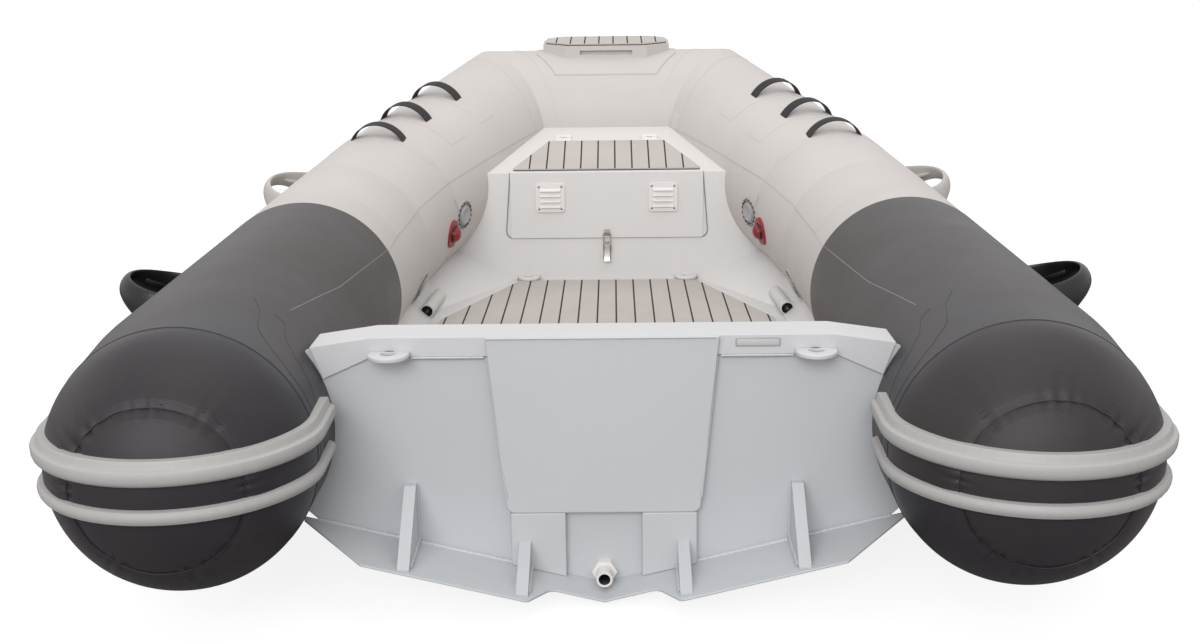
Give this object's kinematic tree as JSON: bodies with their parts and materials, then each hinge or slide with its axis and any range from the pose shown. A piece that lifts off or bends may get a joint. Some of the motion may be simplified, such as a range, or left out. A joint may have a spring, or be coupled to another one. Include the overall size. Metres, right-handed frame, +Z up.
{
  "type": "small inflatable boat with a rigid V hull and a bow locker",
  "caption": "Open inflatable dinghy with a rigid V hull, air tubes that meet at a square raised bow, a flat transom with an engine pad, and a hinged bow locker.",
  "frame": {"origin": "on the centreline amidships, at the waterline", "axes": "+X to starboard, +Y towards the bow, +Z up"},
  "size_m": [1.8142, 2.8319, 0.7627],
  "materials": {
    "tube_fabric_light": "coated fabric, matt, warm light grey",
    "tube_fabric_dark": "coated fabric, satin, dark grey",
    "strake_rubber": "matt, warm light grey",
    "hull_paint": "powder coat, light grey",
    "transom_paint": "powder coat, pale blue-grey",
    "pad_board": "smooth, pale grey",
    "foam_tread": "planked closed-cell foam, warm grey with dark grooves",
    "webbing_black": "woven tape, black",
    "handle_black": "moulded, black",
    "handle_grey": "moulded, grey",
    "valve_grey": "moulded, grey",
    "valve_red": "moulded, dark red",
    "stainless": "brushed stainless steel",
    "vent_white": "moulded, off-white",
    "conduit_grey": "moulded, light grey"
  },
  "bodies": {
    "hull": {"bow_eye": "stainless", "bow_step": "tube_fabric_light", "bow_step_pad": "foam_tread", "cable_conduits": "conduit_grey", "drain_spigot": "stainless", "engine_pad": "pad_board", "engine_pad_legs": "pad_board", "floor_eyes": "transom_paint", "floor_pad": "foam_tread", "grab_handles_port": "webbing_black", "grab_handles_starboard": "webbing_black", "hinge_leaves_fixed": "stainless", "hull_bottom": "hull_paint", "inflation_valves": "valve_grey", "keel_guard": "hull_paint", "latch_base": "stainless", "lifting_handles_aft": "handle_black", "lifting_handles_forward": "handle_grey", "lifting_strakes": "hull_paint", "locker_box": "hull_paint", "relief_valves": "valve_red", "rub_strake_lower_port": "strake_rubber", "rub_strake_lower_starboard": "strake_rubber", "rub_strake_upper_port": "strake_rubber", "rub_strake_upper_starboard": "strake_rubber", "stern_extension": "transom_paint", "stern_gussets": "transom_paint", "tail_port": "tube_fabric_dark", "tail_starboard": "tube_fabric_dark", "towing_eyes": "transom_paint", "transom_cap": "transom_paint", "transom_plate": "transom_paint", "tube_bow": "tube_fabric_light", "tube_port": "tube_fabric_light", "tube_starboard": "tube_fabric_light"},
    "locker_lid": {"locker_lid": "hull_paint", "lid_pad": "foam_tread", "lid_vents": "vent_white", "hinge_leaves_lid": "stainless", "latch_catch": "stainless"}
  },
  "joints": [
    {"name": "locker_lid_hinge", "type": "hinge", "parent": "hull", "child": "locker_lid", "pos_m": [0, 0.89059, 0.39759], "axis": [-1, 0, 0], "range_deg": [0, 90]}
  ]
}
